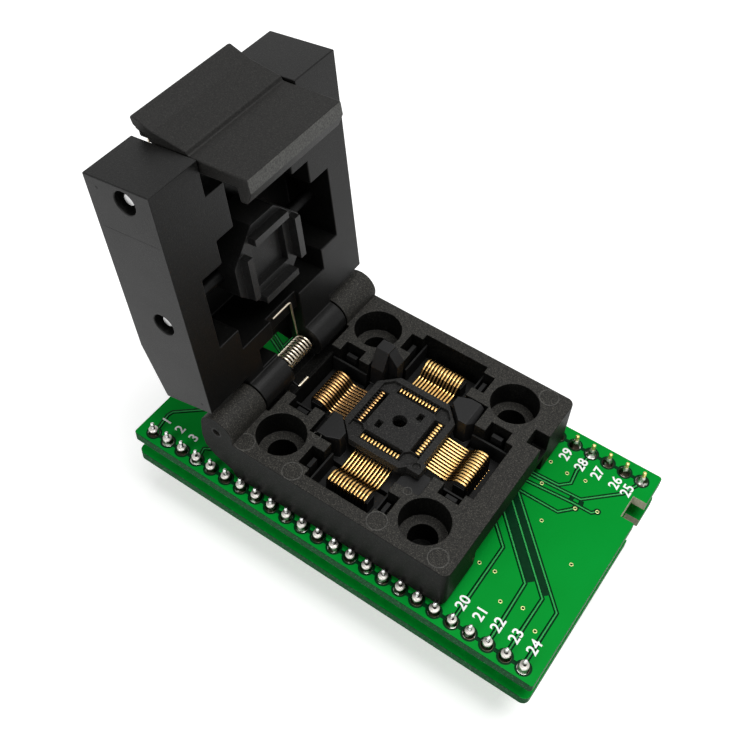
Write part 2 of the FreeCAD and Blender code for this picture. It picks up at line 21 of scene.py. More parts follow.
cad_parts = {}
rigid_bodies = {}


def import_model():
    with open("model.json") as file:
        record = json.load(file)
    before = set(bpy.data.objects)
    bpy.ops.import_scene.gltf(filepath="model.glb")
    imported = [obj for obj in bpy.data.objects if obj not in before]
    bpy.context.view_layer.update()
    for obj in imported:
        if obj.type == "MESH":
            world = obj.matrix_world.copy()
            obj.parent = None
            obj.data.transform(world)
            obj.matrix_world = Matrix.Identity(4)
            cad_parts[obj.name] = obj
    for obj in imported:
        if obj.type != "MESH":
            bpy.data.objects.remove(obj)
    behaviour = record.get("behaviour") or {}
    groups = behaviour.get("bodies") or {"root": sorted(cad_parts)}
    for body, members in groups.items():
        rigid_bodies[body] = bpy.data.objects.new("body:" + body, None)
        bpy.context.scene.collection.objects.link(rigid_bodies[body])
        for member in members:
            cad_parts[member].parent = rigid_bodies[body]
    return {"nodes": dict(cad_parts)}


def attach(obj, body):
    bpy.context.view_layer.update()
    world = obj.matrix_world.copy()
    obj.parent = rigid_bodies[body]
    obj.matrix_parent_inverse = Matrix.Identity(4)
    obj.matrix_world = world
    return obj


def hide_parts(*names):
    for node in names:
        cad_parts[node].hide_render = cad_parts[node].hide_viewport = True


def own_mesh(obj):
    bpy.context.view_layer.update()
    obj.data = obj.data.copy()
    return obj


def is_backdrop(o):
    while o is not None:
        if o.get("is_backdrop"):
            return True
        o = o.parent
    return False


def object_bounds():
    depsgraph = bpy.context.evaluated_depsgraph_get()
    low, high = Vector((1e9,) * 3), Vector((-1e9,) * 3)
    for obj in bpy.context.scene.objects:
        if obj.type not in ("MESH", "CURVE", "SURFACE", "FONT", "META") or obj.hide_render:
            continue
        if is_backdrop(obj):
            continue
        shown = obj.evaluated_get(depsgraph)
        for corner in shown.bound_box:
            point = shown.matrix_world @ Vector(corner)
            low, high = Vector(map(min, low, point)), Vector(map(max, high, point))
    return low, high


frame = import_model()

cad_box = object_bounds()
MM = 0.001
BOARD_TOP = 14.54
print("nodes in the frame:", len(frame["nodes"]))

# %% [markdown]
# ## Places on the socket
# All that shows on the socket is easiest to give from the middle of the upper
# board's top face, in millimetres. The lid stands open at an angle, so its own
# details are given on the closed lid, from the hinge axis: s runs to the front and
# w runs up. One helper turns each kind of place into the frame's metres.

# %% Places
HINGE = (-17.5, 9.1)
LID_OPEN = math.radians(98.1)


def spot(x, y, z):
    return Vector((x, y, z + BOARD_TOP)) * MM


def lid_spot(s, y, w):
    x = HINGE[0] + s * math.cos(LID_OPEN) - w * math.sin(LID_OPEN)
    z = HINGE[1] + s * math.sin(LID_OPEN) + w * math.cos(LID_OPEN)
    return spot(x, y, z)


lid_turn = Matrix.Rotation(-LID_OPEN, 4, "Y")
print("hinge axis at", [round(v, 4) for v in spot(HINGE[0], 0, HINGE[1])])

# %% [markdown]
# ## Working by hand, in code
# Blender's operators act on what is selected. These helpers choose one piece, step
# in and out of edit mode, fix a piece's place into its mesh, and copy a finished
# model to many places. A copy could share the first one's mesh, but then the pieces
# could not be joined or edited apart, so each copy gets its own.

# %% Helpers for operators
def choose(*pieces):
    # With no piece given, nothing stays selected.
    if bpy.context.object and bpy.context.object.mode != "OBJECT":
        bpy.ops.object.mode_set(mode="OBJECT")
    bpy.ops.object.select_all(action="DESELECT")
    for piece in pieces:
        piece.select_set(True)
    if pieces:
        bpy.context.view_layer.objects.active = pieces[0]


def edit(piece, mode="FACE"):
    choose(piece)
    bpy.ops.object.mode_set(mode="EDIT")
    bpy.ops.mesh.select_mode(type=mode)
    bpy.ops.mesh.select_all(action="DESELECT")


def done():
    bpy.ops.object.mode_set(mode="OBJECT")


def pick_faces(piece, test):
    done()
    for face in piece.data.polygons:
        face.select = bool(test(face))
    bpy.ops.object.mode_set(mode="EDIT")


def fix_place(piece):
    choose(piece)
    bpy.ops.object.transform_apply(location=True, rotation=True, scale=True)


def apply_all(piece):
    choose(piece)
    for modifier in list(piece.modifiers):
        bpy.ops.object.modifier_apply(modifier=modifier.name)


def repeat(model, name, places):
    # The copies become one piece, and the model itself is used up.
    copies = []
    for place in places:
        copy = model.copy()
        copy.data = model.data.copy()
        bpy.context.scene.collection.objects.link(copy)
        copy.data.transform(place)
        copies.append(copy)
    bpy.data.objects.remove(model)
    choose(*copies)
    if len(copies) > 1:
        bpy.ops.object.join()
    copies[0].name = name
    copies[0].data.name = name
    return copies[0]


def moved(vector):
    return Matrix.Translation(vector)


def smooth(piece, degrees=35):
    choose(piece)
    bpy.ops.object.shade_smooth_by_angle(angle=math.radians(degrees))


def block(name, low, high):
    # A cube primitive at its size and place, ready to be shaped.
    low, high = Vector(low), Vector(high)
    choose()
    bpy.ops.mesh.primitive_cube_add(size=1, location=(low + high) / 2)
    piece = bpy.context.object
    piece.name = name
    piece.scale = high - low
    fix_place(piece)
    return piece


def by_face(piece, rule):
    # The rule gives the number, among the piece's materials, that a face gets.
    for face in piece.data.polygons:
        face.material_index = int(rule(face))


def face_place(face):
    # A face's middle, in the millimetres that spot() takes.
    return face.center / MM - Vector((0, 0, BOARD_TOP))


# %% [markdown]
# ## Shader maths as expressions
# A material in Blender is a tree of nodes. Wiring it by hand hides what is meant, so
# a small class wraps one output socket. Adding or multiplying two wrapped sockets
# adds the Math node, and a material then reads like a formula.

# %% Shade
class Shade:
    def __init__(self, tree, socket=None):
        self.tree = tree
        self.socket = socket

    def node(self, kind, settings=None, sockets=None, output=0):
        # Settings come first, since some of them change which sockets there are.
        made = self.tree.nodes.new(kind)
        for key, value in (settings or {}).items():
            setattr(made, key, value)
        for key, value in (sockets or {}).items():
            if isinstance(value, Shade):
                self.tree.links.new(value.socket, made.inputs[key])
            else:
                made.inputs[key].default_value = value
        return Shade(self.tree, made.outputs[output] if len(made.outputs) else None)

    def maths(self, operation, first, second):
        return self.node("ShaderNodeMath", {"operation": operation}, {0: first, 1: second})

    def __add__(self, other):
        return self.maths("ADD", self, other)

    def __mul__(self, other):
        return self.maths("MULTIPLY", self, other)

    def __rsub__(self, other):
        return self.maths("SUBTRACT", other, self)

    __radd__ = __add__

    def above(self, limit, soft=0.05):
        # 0 below the limit and 1 above it, with a soft step.
        values = {"Value": self, "From Min": limit - soft, "From Max": limit + soft}
        return self.node("ShaderNodeMapRange", {"interpolation_type": "SMOOTHSTEP"}, values)


# %% [markdown]
# Colours go through a Mix node, because a Math node would turn them grey. Noise is
# read in Object coordinates. Every finished piece sits at the origin, so the grain
# has the same size in millimetres on all of them.

# %% Finish
OBJECT_PLACE = 3          # an output of the Texture Coordinate node
MIX_FIRST, MIX_SECOND, MIX_COLOUR = 6, 7, 2      # the Mix node's colour sockets


class Finish:
    def __init__(self, name, metallic=0.0, specular=0.5):
        self.material = bpy.data.materials.new(name)
        self.material.use_nodes = True
        self.tree = self.material.node_tree
        self.shader = self.tree.nodes["Principled BSDF"]
        self.shader.inputs["Metallic"].default_value = metallic
        self.shader.inputs["Specular IOR Level"].default_value = specular
        self.root = Shade(self.tree)
        self.place = self.root.node("ShaderNodeTexCoord", output=OBJECT_PLACE)

    def noise(self, size_mm, detail=2.0, rough=0.5):
        values = {"Vector": self.place, "Scale": 1 / (size_mm * MM)}
        values.update({"Detail": detail, "Roughness": rough})
        return self.root.node("ShaderNodeTexNoise", None, values)

    def mix(self, factor, first, second):
        first, second = [c if isinstance(c, Shade) else (*c, 1) for c in (first, second)]
        values = {0: factor, MIX_FIRST: first, MIX_SECOND: second}
        return self.root.node("ShaderNodeMix", {"data_type": "RGBA"}, values, MIX_COLOUR)

    def paint(self, colour, rough, bump=None, depth_mm=0.02, strength=0.5):
        for name, value in (("Base Color", colour), ("Roughness", rough)):
            if isinstance(value, Shade):
                self.tree.links.new(value.socket, self.shader.inputs[name])
            else:
                self.shader.inputs[name].default_value = value
        if bump is not None:
            values = {"Height": bump, "Distance": depth_mm * MM, "Strength": strength}
            normal = self.root.node("ShaderNodeBump", None, values)
            self.tree.links.new(normal.socket, self.shader.inputs["Normal"])
        print("finish:", self.material.name)
        return self.material


# %% [markdown]
# ## The green boards
# A board is glass cloth in resin, with copper foil and a green solder mask over it.
# Where copper lies under the mask it is bright green, and where the copper is
# etched away it is dark. The mask shines a little, and the faint weave of the cloth
# shows as a very fine bump. The sawn edges have no mask. The cloth shows there as
# pale strands in dark green resin, and the notch's walls are quite bare.

# %% Board finishes
mask = Finish("board_mask", specular=0.03)
flow = mask.noise(9.0, 3.0)
weave = mask.noise(0.35, 1.0)
bright_green = mask.mix(flow, (0.0002, 0.235, 0.020), (0.0006, 0.290, 0.032))
BOARD_MASK = mask.paint(bright_green, 0.34 + flow * 0.12, weave, 0.01, 0.15)

TRACE_GREENS = ((0.020, 0.300, 0.060), (0.040, 0.380, 0.090))
ETCHED_GREENS = ((0.0004, 0.020, 0.006), (0.001, 0.036, 0.010))


def coating(name, specular, noise_mm, tones, rough):
    # A thin smooth layer whose colour wanders a little between two tones.
    layer = Finish(name, specular=specular)
    return layer.paint(layer.mix(layer.noise(noise_mm), *tones), rough)


BOARD_TRACE = coating("board_trace", 0.08, 0.5, TRACE_GREENS, 0.35)
BOARD_ETCHED = coating("board_etched", 0.04, 0.6, ETCHED_GREENS, 0.4)

# %% Sawn edges and ink
EDGE_ROUGH, EDGE_DEPTH = 0.6, 0.03

cut_edge = Finish("board_edge", specular=0.04)
EDGE_GREENS = ((0.003, 0.050, 0.013), (0.035, 0.150, 0.060))
strands = cut_edge.noise(0.25, 3.0)
edge_tone = cut_edge.mix(strands.above(0.62, 0.1), *EDGE_GREENS)
BOARD_EDGE = cut_edge.paint(edge_tone, EDGE_ROUGH, strands, EDGE_DEPTH)


def sawn(name, specular, tones, bump_mm):
    edge = Finish(name, specular=specular)
    tone = edge.mix(edge.noise(0.3, 3.0), *tones)
    return edge.paint(tone, EDGE_ROUGH, edge.noise(bump_mm), EDGE_DEPTH)


# The board's end faces get a paler edge, as a painted highlight where the light catches them.
LIT_END_EDGE = sawn("board_end_painted_highlight", 0.06, ((0.010, 0.090, 0.026), (0.08, 0.25, 0.11)), 0.25)
BARE_EDGE = sawn("bare_laminate", 0.10, ((0.20, 0.22, 0.14), (0.46, 0.45, 0.34)), 0.2)
INK_WHITES = ((0.84, 0.85, 0.84), (0.95, 0.95, 0.95))
WHITE_INK = coating("white_ink", 0.3, 0.3, INK_WHITES, 0.6)

# %% [markdown]
# ## Moulded plastics
# The socket's base is a nylon filled with short glass fibre. It comes out of the
# mould dull, dark grey, and speckled where fibres lie at the surface. The lid,
# latch and guide posts look smoother and a little blacker. All ten finishes come
# from one recipe with different amounts: dark ground, fine grain, pale flecks. The
# numbers are the two colours, how many flecks there are, how rough the face is, how
# deep its grain is in millimetres, and how strongly it mirrors.

# %% Plastic finishes
def moulded(name, ground, pale, flecks, rough, depth, specular):
    plastic = Finish(name, specular=specular)
    cloud = plastic.noise(3.5, 3.0)
    grain = plastic.noise(0.22, 3.0, 0.75)
    fibre = plastic.noise(0.13, 1.0)
    speckle = fibre.above(0.60, 0.07) * grain.above(0.42, 0.16) * flecks
    low, high, haze = [[c * share for c in ground] for share in (0.35, 2.2, 1.6)]
    tone = plastic.mix(grain.above(0.5, 0.16), low, high)
    tone = plastic.mix(cloud * 0.35, tone, haze)
    colour = plastic.mix(speckle, tone, pale)
    relief = grain + speckle * 0.4
    return plastic.paint(colour, rough - speckle * 0.10 + cloud * 0.08, relief, depth, 0.7)


BASE_GREY, BASE_FLECK = (0.0090, 0.0086, 0.0074), (0.100, 0.094, 0.080)
MARK_GREY = (0.0240, 0.0235, 0.0210)
# The wall grey is darkened as painted shade, for the base's sides, its pockets and the shelf.
SHADED_WALL_GREY, SHADED_WALL_FLECK = (0.0018, 0.0018, 0.0016), (0.030, 0.030, 0.027)
NEST_GREY, NEST_FLECK = (0.0045, 0.0044, 0.0042), (0.050, 0.048, 0.044)
BLOCK_GREY, BLOCK_FLECK = (0.0010, 0.0010, 0.0010), (0.010, 0.010, 0.009)
GUIDE_GREY, GUIDE_FLECK = (0.0014, 0.0014, 0.0015), (0.010, 0.010, 0.010)
LID_GREY, LID_FLECK = (0.0016, 0.0016, 0.0015), (0.016, 0.016, 0.015)
LATCH_GREY, LATCH_FLECK = (0.0042, 0.0040, 0.0036), (0.030, 0.029, 0.026)
# The lit latch grey is paler, as a painted highlight on the latch's lower front face.
LIT_LATCH_GREY, LIT_LATCH_FLECK = (0.0360, 0.0360, 0.0330), (0.050, 0.050, 0.046)
PAD_GREY, PAD_FLECK = (0.0022, 0.0022, 0.0021), (0.030, 0.030, 0.030)
BASE_PLASTIC = moulded("base_nylon", BASE_GREY, BASE_FLECK, 0.55, 0.55, 0.060, 0.18)
MARK_PLASTIC = moulded("mark_nylon", MARK_GREY, BASE_FLECK, 0.60, 0.50, 0.030, 0.30)
SHADED_WALL_PLASTIC = moulded("wall_nylon_painted_shade", SHADED_WALL_GREY, SHADED_WALL_FLECK, 0.35, 0.42, 0.030, 0.05)
NEST_PLASTIC = moulded("nest_nylon", NEST_GREY, NEST_FLECK, 0.65, 0.52, 0.030, 0.18)
BLOCK_PLASTIC = moulded("block_nylon", BLOCK_GREY, BLOCK_FLECK, 0.30, 0.50, 0.015, 0.2)
GUIDE_PLASTIC = moulded("guide_nylon", GUIDE_GREY, GUIDE_FLECK, 0.25, 0.45, 0.012, 0.25)
LID_PLASTIC = moulded("lid_nylon", LID_GREY, LID_FLECK, 0.45, 0.36, 0.020, 0.18)
LATCH_PLASTIC = moulded("latch_nylon", LATCH_GREY, LATCH_FLECK, 0.45, 0.52, 0.025, 0.20)
LIT_LATCH_PLASTIC = moulded("latch_nylon_painted_highlight", LIT_LATCH_GREY, LIT_LATCH_FLECK, 0.40, 0.50, 0.025, 0.40)
PAD_PLASTIC = moulded("pad_nylon", PAD_GREY, PAD_FLECK, 0.45, 0.42, 0.025, 0.40)

# %% [markdown]
# ## Metals
# The contacts are gold over copper, stamped and then bent, so they are bright with
# faint streaks. Solder is greyer, with a slightly crystalline skin. The springs and
# shafts are drawn and ground steel. All are full metals, and the difference lies in
# their colour and in how rough they are.

# %% Metal finishes
DRAWN = (2.0, 0.001)      # a drawn metal's grain size and depth, both in mm


def metal(name, deep, bright, rough, grain_mm=0.3, depth=0.004):
    alloy = Finish(name, metallic=1.0)
    cloud = alloy.noise(grain_mm * 4, 2.0)
    grain = alloy.noise(grain_mm, 3.0)
    return alloy.paint(alloy.mix(cloud, deep, bright), rough + grain * 0.12, grain, depth, 0.3)


CONTACT_GOLD = metal("contact_gold", (0.80, 0.46, 0.14), (0.96, 0.66, 0.26), 0.17, *DRAWN)
# A deeper gold, as painted shade, for the row in the lid's shade.
HINGE_SHADE_GOLD = metal("deep_gold", (0.46, 0.25, 0.09), (0.66, 0.40, 0.17), 0.19, *DRAWN)
# A near-black gold, as painted shade, for the contacts' feet and risers.
FOOT_SHADE_GOLD = metal("contact_gold_painted_shade", (0.060, 0.034, 0.012), (0.110, 0.064, 0.022), 0.35, *DRAWN)
PIN_BRASS = metal("pin_brass", (0.60, 0.46, 0.14), (0.82, 0.68, 0.30), 0.25)
VIA_RING = metal("via_ring", (0.34, 0.38, 0.14), (0.52, 0.52, 0.24), 0.40)
SPRING_STEEL = metal("spring_steel", (0.52, 0.45, 0.34), (0.80, 0.73, 0.60), 0.24, *DRAWN)
SHAFT_STEEL = metal("shaft_steel", (0.50, 0.50, 0.50), (0.74, 0.74, 0.74), 0.25)
# Near-black steel, as painted shade, for steel that lies in the dark.
SHADE_STEEL = metal("steel_painted_shade", (0.010, 0.010, 0.010), (0.020, 0.020, 0.020), 0.40)
PLUG_GOLD = metal("plug_gold", (0.72, 0.46, 0.16), (0.92, 0.68, 0.32), 0.24)

# %% [markdown]
# Solder keeps patches of brown flux low down, which hide the metal's shine. How high
# a point lies is read from its Object coordinates, and a Map Range node turns that
# into an amount that fades out at the flux's top.

# %% Solder
FLUX_TOP = (BOARD_TOP + 0.95) * MM
FLUX_FADE = 0.2 * MM
FLUX_BROWN = (0.035, 0.028, 0.020)
UP = 2                    # the Z output of Separate XYZ

solder = Finish("solder", metallic=1.0)
facets = solder.noise(0.5, 3.0)
rise = solder.root.node("ShaderNodeSeparateXYZ", None, {"Vector": solder.place}, UP)
fade = {"Value": rise, "From Min": FLUX_TOP, "From Max": FLUX_TOP - FLUX_FADE}
flux = solder.noise(1.1, 2.0).above(0.42, 0.06) * rise.node("ShaderNodeMapRange", None, fade)
tinned = solder.mix(facets, (0.34, 0.33, 0.30), (0.82, 0.80, 0.76))
coloured = solder.mix(flux, tinned, FLUX_BROWN)
SOLDER = solder.paint(coloured, 0.24 + facets * 0.15, facets, 0.03, 0.5)
DULL_SOLDER = metal("dull_solder", (0.36, 0.35, 0.32), (0.58, 0.56, 0.52), 0.42, 0.5, 0.02)


def wear(piece, *materials):
    piece.data.materials.clear()
    for material in materials:
        piece.data.materials.append(material)


# %% [markdown]
# ## Softening a CAD solid
# A moulding has no sharp edges: the tool that cut the mould left a small radius
# everywhere, and that radius catches the light. A CAD node comes as loose triangles,
# so a copy of its mesh is merged, its flat faces are joined, and a Bevel modifier
# rounds whatever is left sharp. Bevelling in CAD would do it too, but would cost
# many more triangles in the part that is kept for its shape.
#
# Smooth shading bends the light across a large plane that ends in small bevels, and
# that shows as streaks. So large planes, and faces that meet all their neighbours at
# clear angles, are shaded flat.

# %% Flat planes stay flat
LARGE_PLANE = 12e-6       # square metres
CLEAR_TURN = math.cos(math.radians(20))
SAME_PLANE = 0.9999


def flat_planes(piece):
    beside = {}
    for face in piece.data.polygons:
        for key in face.edge_keys:
            beside.setdefault(key, []).append(face.normal.copy())
    for face in piece.data.polygons:
        turns = [face.normal.dot(other) for key in face.edge_keys for other in beside[key]]
        clear = all(turn < CLEAR_TURN or turn > SAME_PLANE for turn in turns)
        if clear or face.area > LARGE_PLANE:
            face.use_smooth = False


print("a plane is large from", round(LARGE_PLANE / MM ** 2), "square mm")

# %% Soften
WELD = 0.002              # mm, nearer points become one
FLAT_WITHIN = 1.5         # degrees, flatter neighbours are joined
SHARP_FROM = 40           # degrees, a sharper edge is bevelled


def bevel_edges(piece, width, segments):
    modifier = piece.modifiers.new("edge", "BEVEL")
    modifier.width = width * MM
    modifier.segments = segments
    modifier.limit_method = "ANGLE"
    modifier.angle_limit = math.radians(SHARP_FROM)
    modifier.use_clamp_overlap = False
    modifier.harden_normals = True


def soften(node, name, body, material, width, segments=2, merge=True):
    source = frame["nodes"][node]
    piece = bpy.data.objects.new(name, source.data.copy())
    piece.data.name = name
    bpy.context.scene.collection.objects.link(piece)
    edit(piece, "VERT")
    bpy.ops.mesh.select_all(action="SELECT")
    bpy.ops.mesh.remove_doubles(threshold=WELD * MM)
    if merge:
        bpy.ops.mesh.dissolve_limited(angle_limit=math.radians(FLAT_WITHIN))
    done()
    wear(piece, material)
    bevel_edges(piece, width, segments)
    smooth(piece)
    flat_planes(piece)
    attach(piece, body)
    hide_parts(node)
    return piece


# %% [markdown]
# ## The mouldings
# The base, the four contact blocks, the nest and its support, the lid, the latch and
# the pad are all softened this way. Larger mouldings have larger radii. The nest and
# the pad keep their triangles, because they have many small steps, and faces joined
# across those come out streaked.

# %% Softened base, nest and blocks
base = soften("socket_base", "base_moulding", "root", BASE_PLASTIC, 0.12)
support = soften("nest_support", "guide_posts", "root", GUIDE_PLASTIC, 0.10)
nest = soften("nest_plate", "nest_frame", "root", NEST_PLASTIC, 0.05, merge=False)
blocks = []
for side in ("near", "far", "front", "hinge"):
    name = "block_" + side
    piece = soften("contact_block_" + side, name, "root", BLOCK_PLASTIC, 0.06)
    blocks.append(piece)

# %% The base's finish and its painted shade
TOP_FROM = 8.3
STEP_AT = (4.2, 4.6)
EAR_BEHIND, EAR_BEYOND, EAR_ABOVE = -14.6, 9, 6


def unshaded_face(face):
    # The base's top, its counterbores' steps and its hinge ears keep the rough grain and the
    # base's tone. All other faces get the darker wall plastic, as painted shade.
    place = face_place(face)
    top = face.normal.z > 0.9 and (place.z > TOP_FROM or STEP_AT[0] < place.z < STEP_AT[1])
    ear = place.x < EAR_BEHIND and abs(place.y) > EAR_BEYOND and place.z > EAR_ABOVE
    return top or (ear and abs(face.normal.y) < 0.9)


base.data.materials.append(SHADED_WALL_PLASTIC)
by_face(base, lambda face: not unshaded_face(face))
print("softened faces:", sum(len(p.data.polygons) for p in [base, support, nest] + blocks))

# %% [markdown]
# A low shelf of the base shows dark under the lid's spring. It is a plain block that
# the base's own wall runs into.

# %% Shelf under the spring
shelf = block("spring_shelf", spot(-19.7, -5.5, 3.6), spot(-16.5, 5.5, 5.2))
# The shelf wears the wall plastic, darkened as painted shade.
wear(shelf, SHADED_WALL_PLASTIC)
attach(shelf, "root")
print("shelf (mm):", [round(v / MM, 1) for v in shelf.dimensions])

# %% [markdown]
# The latch's lower front face catches the light, so its faces get a paler second finish as a
# painted highlight. They are found by the way they look and by how far out they lie.

# %% Softened lid, latch and pad
LIT_ABOVE = 0.0593     # z in metres
LIT_BEFORE = -0.0175   # x in metres


def lit_latch_face(face):
    middle = face.center
    return face.normal.x > 0.95 and middle.z > LIT_ABOVE and middle.x > LIT_BEFORE


lid = soften("lid", "lid_moulding", "lid", LID_PLASTIC, 0.15)
latch = soften("latch_lever", "latch_moulding", "latch", LATCH_PLASTIC, 0.18)
latch.data.materials.append(LIT_LATCH_PLASTIC)
by_face(latch, lit_latch_face)
pad = soften("pressure_pad", "pad_moulding", "pad", PAD_PLASTIC, 0.06, merge=False)
print("softened faces:", sum(len(p.data.polygons) for p in (lid, latch, pad)))

# %% [markdown]
# ## Boards, carriers and steel pins
# A routed board edge is nearly sharp, so its radius is tiny. The cut faces get the
# edge finishes, and are found by the direction that they face and, in the notch, by
# where they are.

# %% Softened boards
NOTCH_FROM = 29.0 * MM
NOTCH_SIDES = (9.0 * MM, 13.2 * MM)
MASKED, SIDE_CUT, NOTCH_CUT, LIT_END_CUT = range(4)


def board_face(face):
    if abs(face.normal.z) > 0.5:
        return MASKED
    if face.center.x > NOTCH_FROM and NOTCH_SIDES[0] < face.center.y < NOTCH_SIDES[1]:
        return NOTCH_CUT
    # End faces get the paler edge as a painted highlight.
    return LIT_END_CUT if face.normal.x > 0.9 else SIDE_CUT


for node in ("adapter_board_upper", "adapter_board_lower"):
    name = node.replace("adapter", "masked")
    board = soften(node, name, "root", BOARD_MASK, 0.05, 1)
    for material in (BOARD_EDGE, BARE_EDGE, LIT_END_EDGE):
        board.data.materials.append(material)
    by_face(board, board_face)
    print(name, "has", len(board.data.polygons), "faces")

# %% Softened carriers and pins
for side in ("near", "far"):
    soften("pin_carrier_" + side, "carrier_" + side, "root", BLOCK_PLASTIC, 0.15)
    soften("dip_pins_" + side, "plug_pins_" + side, "root", PLUG_GOLD, 0.05)
# The hinge shaft lies deep in its bore, so it gets the near-black steel as painted shade.
soften("hinge_shaft", "hinge_pin_steel", "root", SHADE_STEEL, 0.10)
soften("latch_pin", "latch_pin_steel", "lid", SHAFT_STEEL, 0.12)
pad_axle = soften("pad_pin", "pad_pin_steel", "lid", SHADE_STEEL, 0.12)
pad_axle.data.materials.append(SHAFT_STEEL)
# The axle lies in the lid's dark, so it gets the near-black steel as painted shade, and only
# its ends get the bright steel.
by_face(pad_axle, lambda face: abs(face.normal.y) > 0.9)
print("pieces so far:", len(bpy.context.scene.collection.all_objects))

# %% [markdown]
# ## Spring contacts
# Each contact is stamped from thin copper alloy and bent: a short tip that the chip's
# lead lands on, a riser, a long beam that gives it its spring, an arch, and a tail
# down to the board. One is made by pushing a small flat face along that path and
# turning it at every bend, which is how the strip is drawn through its bends too. A
# Subdivision Surface then rounds the bends and the edges. It is copied twelve times
# to each side.

# %% One contact
STRIP_WIDE = 0.285
STRIP_THICK = 0.25
STRIP_PATH = [
    (4.15, 7.50), (4.72, 7.56), (4.92, 7.38), (5.00, 6.90), (5.03, 6.25), (5.25, 5.98),
    (5.6, 5.88), (7.4, 5.66), (9.2, 5.50), (9.65, 5.85), (10.1, 6.45), (10.8, 6.82),
    (11.5, 6.85), (12.05, 6.65), (12.25, 6.2), (12.25, 3.0),
]


def run_angle(i):
    (x0, z0), (x1, z1) = STRIP_PATH[i], STRIP_PATH[i + 1]
    return math.atan2(z1 - z0, x1 - x0)


choose()
bpy.ops.mesh.primitive_plane_add(size=MM, rotation=(0, math.pi / 2, 0))
contact = bpy.context.object
contact.scale = (STRIP_THICK, STRIP_WIDE, 1)
fix_place(contact)
contact.data.transform(moved(spot(STRIP_PATH[0][0], 0, STRIP_PATH[0][1])))
edit(contact)
bpy.ops.mesh.select_all(action="SELECT")
angle = 0.0
for i in range(1, len(STRIP_PATH)):
    (x0, z0), (x1, z1) = STRIP_PATH[i - 1], STRIP_PATH[i]
    step = ((x1 - x0) * MM, 0, (z1 - z0) * MM)
    bpy.ops.mesh.extrude_region_move(TRANSFORM_OT_translate={"value": step})
    after = run_angle(i) if i < len(STRIP_PATH) - 1 else run_angle(i - 1)
    target = (run_angle(i - 1) + after) / 2
    bend = spot(x1, 0, z1)
    bpy.ops.transform.rotate(value=target - angle, orient_axis="Y", center_override=bend)
    angle = target
bpy.ops.mesh.select_all(action="SELECT")
bpy.ops.mesh.normals_make_consistent(inside=False)
done()
print("faces before rounding:", len(contact.data.polygons))

# %% [markdown]
# The edges along the strip get a crease, so that rounding leaves it a flat strip and no wire.
# Its arch is a little wider. Its tail stands in the dark of the block and gets the block's
# black plastic as painted shade, and its foot and riser get a near-black gold as painted shade.

# %% The strip's edges and colours
CREASE = 0.30
ARCH_FROM, ARCH_WIDER = 9.7, 1.05
TAIL_FROM, TAIL_UNDER = 11.9, 6.1
FOOT = (9.3, 10.0)
RISER_TO, RISER_UNDER = 5.2, 7.1
BRIGHT, SHADED_TAIL, SHADED_FOOT = range(3)


def strip_face(face):
    place = face_place(face)
    if place.x > TAIL_FROM and place.z < TAIL_UNDER:
        return SHADED_TAIL
    riser = place.x < RISER_TO and place.z < RISER_UNDER
    return SHADED_FOOT if riser or FOOT[0] < place.x < FOOT[1] else BRIGHT


crease = contact.data.attributes.new("crease_edge", "FLOAT", "EDGE")
for edge in contact.data.edges:
    ends = [contact.data.vertices[i].co.y for i in edge.vertices]
    runs_along = abs(ends[0] - ends[1]) < 0.01 * MM
    crease.data[edge.index].value = CREASE if runs_along else 0.0
rounding = contact.modifiers.new("rounding", "SUBSURF")
rounding.levels = rounding.render_levels = 2
apply_all(contact)
for vertex in contact.data.vertices:
    if vertex.co.x > ARCH_FROM * MM:
        vertex.co.y *= ARCH_WIDER
smooth(contact, 60)
wear(contact, CONTACT_GOLD, BLOCK_PLASTIC, FOOT_SHADE_GOLD)
by_face(contact, strip_face)
print("faces of one contact:", len(contact.data.polygons))

# %% Twelve contacts on each side
CONTACT_PITCH = 0.5
CONTACT_COUNT = 12
SIDE_TURNS = {"front": 0, "far": 90, "hinge": 180, "near": 270}


def side_rows(model, name, count, replaced=None):
    made = []
    for side, turn in SIDE_TURNS.items():
        copy = model.copy()
        copy.data = model.data.copy()
        bpy.context.scene.collection.objects.link(copy)
        around = Matrix.Rotation(math.radians(turn), 4, "Z")
        offsets = [(i - (count - 1) / 2) * CONTACT_PITCH * MM for i in range(count)]
        places = [around @ moved((0, y, 0)) for y in offsets]
        row = repeat(copy, name + "_" + side, places)
        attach(row, "root")
        if replaced:
            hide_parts(replaced + "_" + side)
        made.append(row)
    bpy.data.objects.remove(model)
    return made


for row in side_rows(contact, "gold_contacts", CONTACT_COUNT, "contacts"):
    print(row.name, "has", len(row.data.polygons), "faces")
    # The lid's shade falls on the row at the hinge, so its gold is darkened there as painted
    # shade.
    if row.name.endswith("hinge"):
        row.data.materials[0] = HINGE_SHADE_GOLD

# %% [markdown]
# ## Comb teeth
# Thin black walls keep the contacts apart, in the nest just outside the tips and
# under the arches. A tooth starts as a block, its top is pinched by an inset, and it
# is copied along the row. A Boolean with many slots would give the same look for
# many more faces.

# %% Teeth in the nest and under the arches
TOOTH_PINCH, TOOTH_RISE = 0.03, 0.05


def tooth(name, along, top, bottom, wide):
    piece = block(name, spot(along[0], -wide / 2, bottom), spot(along[1], wide / 2, top))
    edit(piece)
    pick_faces(piece, lambda face: face.normal.z > 0.9)
    bpy.ops.mesh.inset(thickness=TOOTH_PINCH * MM, depth=TOOTH_RISE * MM)
    done()
    return piece


nest_tooth = tooth("nest_tooth", (4.72, 5.40), 7.55, 6.9, 0.20)
wear(nest_tooth, BLOCK_PLASTIC)
side_rows(nest_tooth, "nest_comb", CONTACT_COUNT + 1)
arch_tooth = tooth("arch_tooth", (10.35, 11.95), 6.30, 5.5, 0.14)
wear(arch_tooth, BLOCK_PLASTIC)
side_rows(arch_tooth, "arch_comb", CONTACT_COUNT + 1)
print("teeth:", 2 * len(SIDE_TURNS) * (CONTACT_COUNT + 1))

